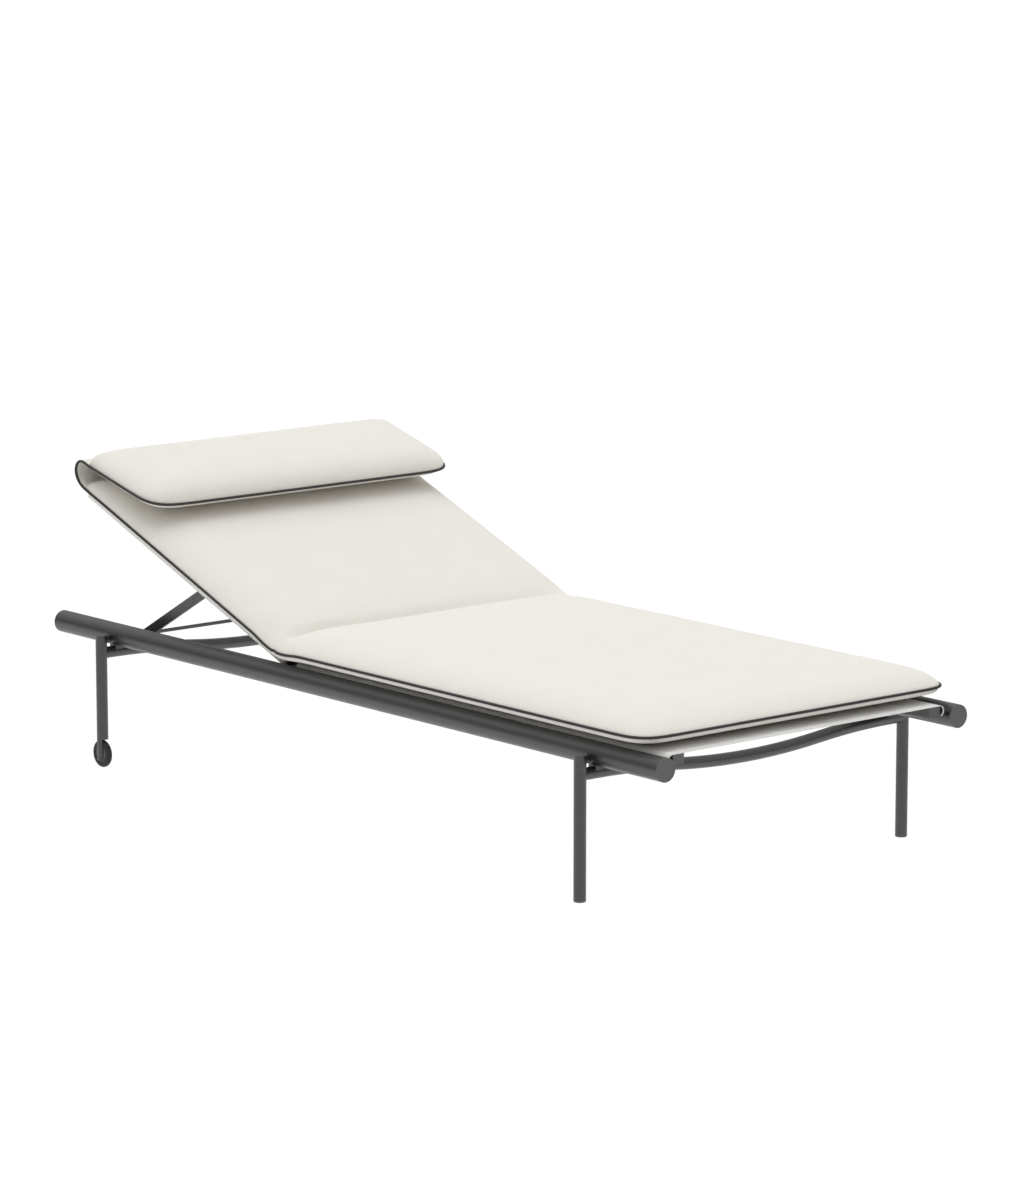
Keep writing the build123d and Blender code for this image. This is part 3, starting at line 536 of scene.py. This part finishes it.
loop_line = smooth_curve(LOOP_POINTS, 4)
loop_side = sideways(loop_line)
strip_inner = np.linspace(LOOP_HEM - LOOP_HALF_WIDTH, LOOP_HALF_WIDTH - LOOP_HEM, LOOP_COLUMNS)
strip_across = np.concatenate([[-LOOP_HALF_WIDTH], strip_inner, [LOOP_HALF_WIDTH]])
corners, uv = [], []
travel = np.concatenate([[0], np.cumsum(np.linalg.norm(np.diff(loop_line, axis=0), axis=1))])
for layer in (-1, 1):
    for k, (spot, aside) in enumerate(zip(loop_line, loop_side)):
        for i, across in enumerate(strip_across):
            half = LOOP_THICKNESS / 2 * (LOOP_HEM_SHARE if i in (0, len(strip_across) - 1) else 1)
            along, height = spot + aside * half * layer
            corners.append((across, along, height))
            uv.append((across, travel[k]))
columns, lines = len(strip_across), len(loop_line)
layer_size = columns * lines
faces = []
for k in range(lines - 1):
    for i in range(columns - 1):
        a, b = k * columns + i, (k + 1) * columns + i
        faces.append((a + 1, b + 1, b, a))
        faces.append((b + layer_size, b + 1 + layer_size, a + 1 + layer_size, a + layer_size))
    for i, flip in ((0, False), (columns - 1, True)):
        a, b = k * columns + i, (k + 1) * columns + i
        side = (a, a + layer_size, b + layer_size, b)
        faces.append(side if flip else side[::-1])
for k, flip in ((0, True), (lines - 1, False)):
    for i in range(columns - 1):
        a = k * columns + i
        end = (a, a + layer_size, a + 1 + layer_size, a + 1)
        faces.append(end[::-1] if flip else end)
fold = soften(make_piece("pillow_fold_cloth", bend_at_hinge(corners), faces, mattress_cloth, uv))
print("fold faces:", len(fold.data.polygons))

# %% [markdown]
# ## The piping
# One charcoal cord is sewn into the seam all the way round: along the foot end, up both sides, over the loop
# and round the pillow. It is a round tube swept along a closed line. The line is made from the same outline
# rules as the pads, so it always lies in the seam.

# %% Trace the seam and sweep the piping
PIPING_RADIUS = 2.9
PIPING_OUT = 1.0
SEAM_JOG = 2.2
SEAM_JOG_REACH = 5.0
SEAM_STEP = 3.0
PIPING_STEP = 5.0
STRAIGHT_SIDE = (-900, 0, 650)
SMOOTHING = np.array([1, 2, 3, 2, 1]) / 9
CORNER_POINTS = 40
END_POINTS = 24
PIPING_SIDES = 10


def half_outline(foot, roll, half_width, side_roll, power):
    """Right half of a pad's rounded end, from the middle of the end to the start of the straight side."""
    turns = np.linspace(0, pi / 2, CORNER_POINTS)
    along = foot + roll * (1 - np.cos(turns) ** (2 / power))
    across = half_width - side_roll * (1 - np.sin(turns) ** (2 / power))
    middle = np.linspace(0, across[0], END_POINTS)[:-1]
    end = np.column_stack([middle, np.full(len(middle), foot)])
    return np.concatenate([end, np.column_stack([across, along])])


def even_steps(line, step):
    """The same line with places a fixed distance apart."""
    travel = np.concatenate([[0], np.cumsum(np.linalg.norm(np.diff(line, axis=0), axis=1))])
    wanted = np.linspace(0, travel[-1], max(2, round(travel[-1] / step)))
    return np.column_stack([np.interp(wanted, travel, line[:, k]) for k in range(line.shape[1])])


seam_half_width = MATTRESS_HALF_WIDTH + PIPING_OUT
foot_half = half_outline(MATTRESS_FOOT - PIPING_OUT, SIDE_ROLL, seam_half_width, SIDE_ROLL,
                         FOOT_CORNER_POWER)
foot_half = np.column_stack([foot_half, np.full(len(foot_half), SEAM_HEIGHT)])
pillow_foot = PILLOW_HEAD - PILLOW_LENGTH - PIPING_OUT
pillow_half = half_outline(pillow_foot, PILLOW_FRONT_ROLL, PILLOW_HALF_WIDTH + PIPING_OUT, PILLOW_SIDE_ROLL,
                           FOOT_CORNER_POWER)
pillow_half = np.column_stack([pillow_half, pillow_seam_height(pillow_half[:, 1])])
straight_side = [[seam_half_width, along, SEAM_HEIGHT] for along in STRAIGHT_SIDE]
over_loop = np.column_stack([np.full(len(loop_line), seam_half_width), loop_line])
right_half = even_steps(np.concatenate([foot_half, straight_side, over_loop, pillow_half[::-1]]), SEAM_STEP)
smoothed = np.column_stack([np.convolve(right_half[:, k], SMOOTHING, "same") for k in range(3)])
right_half[3:-3] = smoothed[3:-3]
left_half = right_half[::-1] * np.array([-1, 1, 1])
seam_line = np.concatenate([right_half, left_half[1:-1]])
seam_line[:, 2] += SEAM_JOG * np.exp(-(seam_line[:, 1] / SEAM_JOG_REACH) ** 2)
piping_line = bend_at_hinge(seam_line)
piping_line = even_steps(np.vstack([piping_line, piping_line[:1]]), PIPING_STEP)[:-1]


def sweep_closed(name, line, radius, sides, material):
    """Round tube along a closed line, with a UV map measured round and along it.

    The rings turn as little as they can from one to the next, so the last ring is joined to the first with
    the shift that keeps the faces straight.
    """
    ahead = np.roll(line, -1, 0) - np.roll(line, 1, 0)
    ahead /= np.linalg.norm(ahead, axis=1)[:, None]
    out = np.cross(ahead[0], (0, 0, 1.0))
    corners, uv = [], []
    length = 0.0
    for k, (spot, direction) in enumerate(zip(line, ahead)):
        out = out - direction * np.dot(out, direction)
        out /= np.linalg.norm(out)
        up = np.cross(direction, out)
        length += np.linalg.norm(spot - line[k - 1]) if k else 0
        for turn in np.linspace(0, 2 * pi, sides, endpoint=False):
            corners.append(spot + radius * (cos(turn) * out + sin(turn) * up))
            uv.append((turn * radius, length))
    count = len(line)
    first_ring = np.array(corners[:sides])
    shift = int(np.argmin(np.linalg.norm(first_ring - corners[(count - 1) * sides], axis=1)))
    faces = []
    for k in range(count):
        ahead_ring, skew = ((k + 1) * sides, 0) if k < count - 1 else (0, shift)
        for i in range(sides):
            a, b = k * sides + i, k * sides + (i + 1) % sides
            faces.append((a, b, ahead_ring + (i + 1 + skew) % sides, ahead_ring + (i + skew) % sides))
    return make_piece(name, corners, faces, material, uv), length


piping, piping_length = sweep_closed("mattress_piping", piping_line, PIPING_RADIUS, PIPING_SIDES,
                                      piping_cord)
print("piping length:", round(piping_length), "mm")

# %% [markdown]
# ## The slings
# Each sling is a flat mesh cloth stretched between two bars and rolled over their round outer edges. It is a
# real sheet: a single layer of faces that follows the flat bed and both rolls, given its thickness by a
# Solidify modifier.

# %% Build both slings
CLOTH_THICKNESS = 1.2
NOSE_RADIUS = (bar_high.z - bar_low.z) / 2
ROLL_RADIUS = NOSE_RADIUS + CLOTH_THICKNESS / 2
NOSE_X = bar_high.x - NOSE_RADIUS
ROLL_END = radians(-62)
SLING_GAP = 20.0
BACK_LENGTH = -SLING_FOOT - 2 * HINGE_Y
SLING_STEP = 22.0
BED_POINTS = 16
ROLL_POINTS = 14


def bend_flat(places, raised):
    """Put bed places on the level seat, or on the raised back."""
    across, along, height = np.asarray(places, float).T
    turn = BACK_TILT if raised else 0.0
    return np.column_stack([across, HINGE_Y + along * cos(turn) - height * sin(turn),
                            HINGE_Z + along * sin(turn) + height * cos(turn)])


def sling_profile():
    """Half section (across, height) from the middle of the bed to the end of the roll."""
    flat = [(x, ROLL_RADIUS) for x in np.linspace(0, NOSE_X, BED_POINTS)[:-1]]
    roll = [(NOSE_X + ROLL_RADIUS * cos(turn), ROLL_RADIUS * sin(turn))
            for turn in np.linspace(pi / 2, ROLL_END, ROLL_POINTS)]
    return np.array(flat + roll)


def build_sling(name, start, end):
    """Sling between two places along the bed, with its flat width and length in metres."""
    half = sling_profile()
    section = np.concatenate([half[:0:-1] * np.array([-1, 1]), half])
    travel = np.concatenate([[0], np.cumsum(np.linalg.norm(np.diff(section, axis=0), axis=1))])
    rows = np.linspace(start, end, round((end - start) / SLING_STEP) + 1)
    corners = [(x, row, z) for row in rows for x, z in section]
    uv = [(distance, row) for row in rows for distance in travel]
    wide = len(section)
    faces = [(j * wide + i, j * wide + i + 1, (j + 1) * wide + i + 1, (j + 1) * wide + i)
             for j in range(len(rows) - 1) for i in range(wide - 1)]
    sling = make_piece(name, bend_flat(corners, start > 0), faces, sling_mesh, uv)
    wall = sling.modifiers.new("cloth thickness", "SOLIDIFY")
    wall.thickness = CLOTH_THICKNESS * MM
    wall.offset = 0
    return sling, (travel[-1] * MM, (end - start) * MM)


seat_sling, seat_sling_size = build_sling("seat_sling_cloth", SLING_FOOT, -SLING_GAP)
back_sling, back_sling_size = build_sling("back_sling_cloth", SLING_GAP, BACK_LENGTH)
print("flat sizes:", [round(v, 3) for v in seat_sling_size + back_sling_size])

# %% [markdown]
# ## Stitched hems
# Both ends of each sling are hemmed with two rows of stitches. The stitches repeat evenly, so Geometry Nodes
# make them: a line is sampled at the stitch pitch, a small rounded thread is set on each point, and the
# result is made real. The same tree serves every hem through its named inputs.

# %% A Geometry Nodes tree for rows of stitches
def stitch_tree():
    """Stitches on a straight line between two places; each is a stretched sphere of thread."""
    tree = bpy.data.node_groups.new("stitch_rows", "GeometryNodeTree")
    tree.interface.new_socket("Geometry", in_out="OUTPUT", socket_type="NodeSocketGeometry")
    for name in ("Start", "End"):
        tree.interface.new_socket(name, in_out="INPUT", socket_type="NodeSocketVector")
    for name in ("Pitch", "Stitch Length", "Thread Radius"):
        tree.interface.new_socket(name, in_out="INPUT", socket_type="NodeSocketFloat")
    tree.interface.new_socket("Finish", in_out="INPUT", socket_type="NodeSocketMaterial")
    nodes, links = tree.nodes, tree.links
    inputs, output = nodes.new("NodeGroupInput"), nodes.new("NodeGroupOutput")
    line = nodes.new("GeometryNodeCurvePrimitiveLine")
    spaced = nodes.new("GeometryNodeCurveToPoints")
    spaced.mode = "LENGTH"
    thread = nodes.new("GeometryNodeMeshUVSphere")
    thread.inputs["Segments"].default_value = 6
    thread.inputs["Rings"].default_value = 4
    stretch = nodes.new("GeometryNodeTransform")
    size = nodes.new("ShaderNodeCombineXYZ")
    place = nodes.new("GeometryNodeInstanceOnPoints")
    real = nodes.new("GeometryNodeRealizeInstances")
    finish = nodes.new("GeometryNodeSetMaterial")
    links.new(inputs.outputs["Start"], line.inputs["Start"])
    links.new(inputs.outputs["End"], line.inputs["End"])
    links.new(line.outputs[0], spaced.inputs[0])
    links.new(inputs.outputs["Pitch"], spaced.inputs["Length"])
    thread.inputs["Radius"].default_value = 1.0
    links.new(inputs.outputs["Stitch Length"], size.inputs[0])
    links.new(inputs.outputs["Thread Radius"], size.inputs[1])
    links.new(inputs.outputs["Thread Radius"], size.inputs[2])
    links.new(thread.outputs["Mesh"], stretch.inputs["Geometry"])
    links.new(size.outputs[0], stretch.inputs["Scale"])
    links.new(spaced.outputs[0], place.inputs["Points"])
    links.new(stretch.outputs[0], place.inputs["Instance"])
    links.new(place.outputs[0], real.inputs[0])
    links.new(real.outputs[0], finish.inputs["Geometry"])
    links.new(inputs.outputs["Finish"], finish.inputs["Material"])
    links.new(finish.outputs[0], output.inputs[0])
    return tree


stitches = stitch_tree()
socket_id = {item.name: item.identifier for item in stitches.interface.items_tree if item.in_out == "INPUT"}
print("tree inputs:", sorted(socket_id))

# %% Sew the hems
STITCH_PITCH = 6.5
STITCH_HALF_LENGTH = 2.3
THREAD_RADIUS = 0.45
HEM_ROWS = (9.0, 14.0)


def sew_row(start, end):
    """One row of stitches between two places in metres, as a plain mesh."""
    holder = bpy.data.objects.new("stitch_holder", bpy.data.meshes.new("stitch_holder"))
    bpy.context.scene.collection.objects.link(holder)
    modifier = holder.modifiers.new("stitches", "NODES")
    modifier.node_group = stitches
    values = {"Start": start, "End": end, "Pitch": STITCH_PITCH * MM, "Finish": thread_white,
              "Stitch Length": STITCH_HALF_LENGTH * MM, "Thread Radius": THREAD_RADIUS * MM}
    for name, value in values.items():
        modifier[socket_id[name]] = value
    bpy.context.view_layer.update()
    evaluated = holder.evaluated_get(bpy.context.evaluated_depsgraph_get())
    mesh = bpy.data.meshes.new_from_object(evaluated)
    bpy.data.objects.remove(holder)
    return mesh


def sew_sling(name, hems, raised):
    """Two stitch rows at each hem, joined in one plain mesh."""
    corners, faces = [], []
    surface = ROLL_RADIUS + CLOTH_THICKNESS / 2
    for row in hems:
        ends = bend_flat([(-NOSE_X, row, surface), (NOSE_X, row, surface)], raised) * MM
        mesh = sew_row(*[tuple(float(c) for c in end) for end in ends])
        first = len(corners)
        corners += [np.array(v.co) / MM for v in mesh.vertices]
        faces += [tuple(first + k for k in face.vertices) for face in mesh.polygons]
        bpy.data.meshes.remove(mesh)
    return make_piece(name, corners, faces, thread_white, [(c[0], c[1]) for c in corners])


seat_hems = [SLING_FOOT + row for row in HEM_ROWS] + [-SLING_GAP - row for row in HEM_ROWS]
back_hems = [SLING_GAP + row for row in HEM_ROWS] + [BACK_LENGTH - row for row in HEM_ROWS]
seat_stitches = sew_sling("seat_sling_stitches", seat_hems, False)
back_stitches = sew_sling("back_sling_stitches", back_hems, True)
print("stitch faces:", len(seat_stitches.data.polygons), len(back_stitches.data.polygons))

# %% [markdown]
# ## Tie the soft parts to the moving bodies
# The pillow, the fold and the back sling move with the backrest, and the seat sling stays with the frame.
# The mattress and its piping cross the hinge; they keep the bend they were built with, and their placement is
# baked into their vertices.

# %% Ride, bake and replace
for soft in (mattress, piping):
    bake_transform(soft)
for rider in (pillow, fold, back_sling, back_stitches):
    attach(rider, "backrest")
for rider in (seat_sling, seat_stitches):
    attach(rider, "frame")
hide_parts("seat_cushion", "back_cushion")
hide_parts("head_pillow")
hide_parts("pillow_fold")
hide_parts("seat_sling")
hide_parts("back_sling")
print("soft parts tied")

# %% [markdown]
# ## Floor, light and camera
# The lounger stands on a plain white floor that glows a little, so that it stays white under the bed. The
# surroundings are dim near the horizon and bright overhead, and a broad, soft light shines almost straight
# down. Together they give the cloth a bright top and gently darker sides. What the camera sees behind the
# floor is plain white.

# %% Make the floor
FLOOR_HALF = 80.0
floor_mesh = bpy.data.meshes.new("studio_floor")
floor_mesh.from_pydata([(-FLOOR_HALF, -FLOOR_HALF, 0), (FLOOR_HALF, -FLOOR_HALF, 0),
                        (FLOOR_HALF, FLOOR_HALF, 0), (-FLOOR_HALF, FLOOR_HALF, 0)], [], [(0, 1, 2, 3)])
floor_white, _ = start_material("studio_floor_white", (0.06, 0.06, 0.06), 1.0, Specular_IOR_Level=0.0,
                                Emission_Color=(1, 1, 1, 1), Emission_Strength=0.97)
floor_mesh.materials.append(floor_white)
floor = bpy.data.objects.new("studio_floor", floor_mesh)
bpy.context.scene.collection.objects.link(floor)
print("floor is", 2 * FLOOR_HALF, "m square")

# %% Make the surroundings and the soft light
world = bpy.data.worlds.new("studio")
bpy.context.scene.world = world
world.use_nodes = True
sky = world.node_tree
direction = sky.nodes.new("ShaderNodeTexCoord")
split = sky.nodes.new("ShaderNodeSeparateXYZ")
fade = sky.nodes.new("ShaderNodeMapRange")
for socket, value in {"From Min": 0.0, "From Max": 0.8, "To Min": 0.1, "To Max": 1.1}.items():
    fade.inputs[socket].default_value = value
seen = sky.nodes.new("ShaderNodeLightPath")
brightness = sky.nodes.new("ShaderNodeMath")
brightness.operation = "MAXIMUM"
background = sky.nodes["Background"]
background.inputs["Color"].default_value = (1, 1, 1, 1)
sky.links.new(direction.outputs["Generated"], split.inputs[0])
sky.links.new(split.outputs[2], fade.inputs["Value"])
sky.links.new(fade.outputs["Result"], brightness.inputs[0])
sky.links.new(seen.outputs["Is Camera Ray"], brightness.inputs[1])
sky.links.new(brightness.outputs[0], background.inputs["Strength"])


def toward(azimuth, elevation):
    """Unit direction from the lounger; azimuth 0 is the foot end and grows towards the right side."""
    return Vector((sin(azimuth) * cos(elevation), -cos(azimuth) * cos(elevation), sin(elevation)))


def soft_light(name, azimuth, elevation, strength, spread):
    """Sun lamp with a wide disc, so that its shadows are soft; it leaves no highlight of its own."""
    lamp = bpy.data.lights.new(name, "SUN")
    lamp.energy = strength
    lamp.angle = radians(spread)
    made = bpy.data.objects.new(name, lamp)
    made.rotation_euler = toward(radians(azimuth), radians(elevation)).to_track_quat("Z", "Y").to_euler()
    made.visible_glossy = False
    bpy.context.scene.collection.objects.link(made)
    return made


overhead = soft_light("overhead_softbox", 140, 80, 0.95, 70)
print("light:", overhead.name)

# %% [markdown]
# The camera stands low and far away, a little to the left of the foot end, and looks through a long lens, so
# that the long rails stay almost parallel.

# %% Place the camera
VIEW_AZIMUTH = radians(-39.882)
VIEW_ELEVATION = radians(10.493)
VIEW_TARGET = Vector((0.216, 0.2002, 0.3773))
VIEW_DISTANCE = 10.91
camera_data = bpy.data.cameras.new("studio_camera")
camera_data.sensor_width = 36
camera_data.lens = 151.59
camera_data.clip_end = 500
camera = bpy.data.objects.new("studio_camera", camera_data)
away = toward(VIEW_AZIMUTH, VIEW_ELEVATION)
camera.location = VIEW_TARGET + away * VIEW_DISTANCE
camera.rotation_euler = away.to_track_quat("Z", "Y").to_euler()
bpy.context.scene.collection.objects.link(camera)
bpy.context.scene.camera = camera
bpy.context.scene.view_settings.view_transform = "Standard"
print("camera at", [round(v, 3) for v in camera.location])
